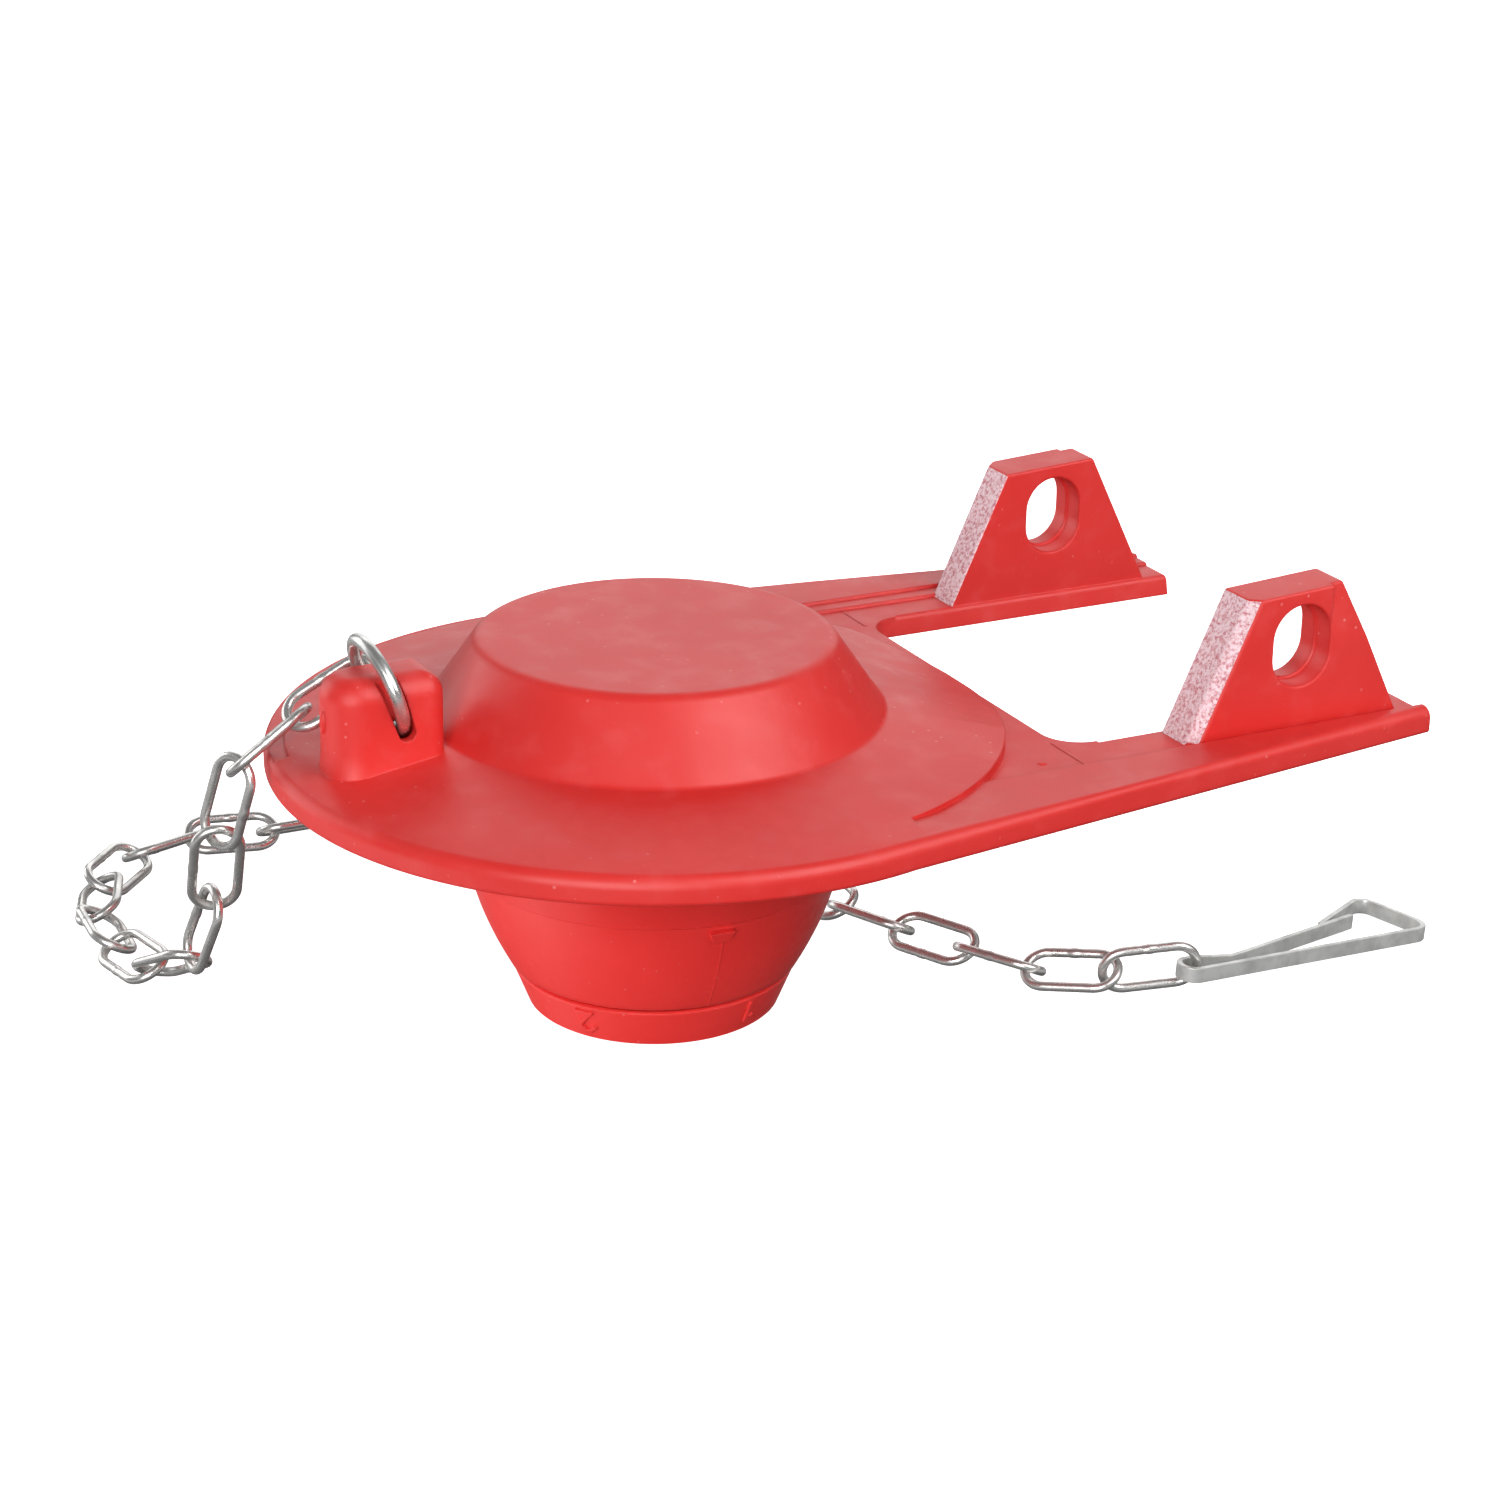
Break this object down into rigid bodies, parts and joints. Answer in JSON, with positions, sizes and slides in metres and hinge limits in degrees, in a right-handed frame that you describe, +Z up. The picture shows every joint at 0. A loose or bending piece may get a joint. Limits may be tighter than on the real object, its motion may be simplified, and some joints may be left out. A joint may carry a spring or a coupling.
{
  "type": "toilet flapper with chain",
  "caption": "Hinged rubber flush-valve flapper with an adjustable float cone, a bleed dial and a lift chain ending in a snap hook.",
  "frame": {"origin": "centre of the flat bottom of the dial, on the axis of the disc; the floor is z = 0", "axes": "+Z up through the middle of the dome, +Y from the disc towards the two hinge ears, +X to the ear on the right when looking along +Y"},
  "size_m": [0.107, 0.145, 0.0484],
  "materials": {
    "red_rubber": "semi-gloss moulded rubber",
    "red_plastic": "semi-gloss moulded plastic",
    "steel_wire": "bright plated wire"
  },
  "bodies": {
    "root": {"flapper_body": "red_rubber", "float_cone": "red_plastic", "chain_link_01": "steel_wire", "chain_link_02": "steel_wire", "chain_link_03": "steel_wire", "chain_link_04": "steel_wire", "chain_link_05": "steel_wire", "chain_link_06": "steel_wire", "chain_link_07": "steel_wire", "chain_link_08": "steel_wire", "chain_link_09": "steel_wire", "chain_link_10": "steel_wire", "chain_link_11": "steel_wire", "chain_link_12": "steel_wire", "chain_link_13": "steel_wire", "chain_link_14": "steel_wire", "chain_link_15": "steel_wire", "chain_link_16": "steel_wire", "chain_link_17": "steel_wire", "chain_link_18": "steel_wire", "chain_link_19": "steel_wire", "chain_link_20": "steel_wire", "chain_link_21": "steel_wire", "chain_link_22": "steel_wire", "chain_link_23": "steel_wire", "chain_link_24": "steel_wire", "chain_link_25": "steel_wire", "chain_link_26": "steel_wire", "chain_link_27": "steel_wire", "snap_hook": "steel_wire"},
    "dial": {"adjuster_dial": "red_plastic"},
    "ring": {"lug_ring": "steel_wire"}
  },
  "joints": [
    {"name": "dial_turn", "type": "hinge", "parent": "root", "child": "dial", "pos_m": [0, 0, 0], "axis": [0, 0, 1], "continuous": true},
    {"name": "ring_swing", "type": "hinge", "parent": "root", "child": "ring", "pos_m": [0, -0.0306, 0.0377], "axis": [1, 0, 0], "range_deg": [-2, 3]}
  ]
}
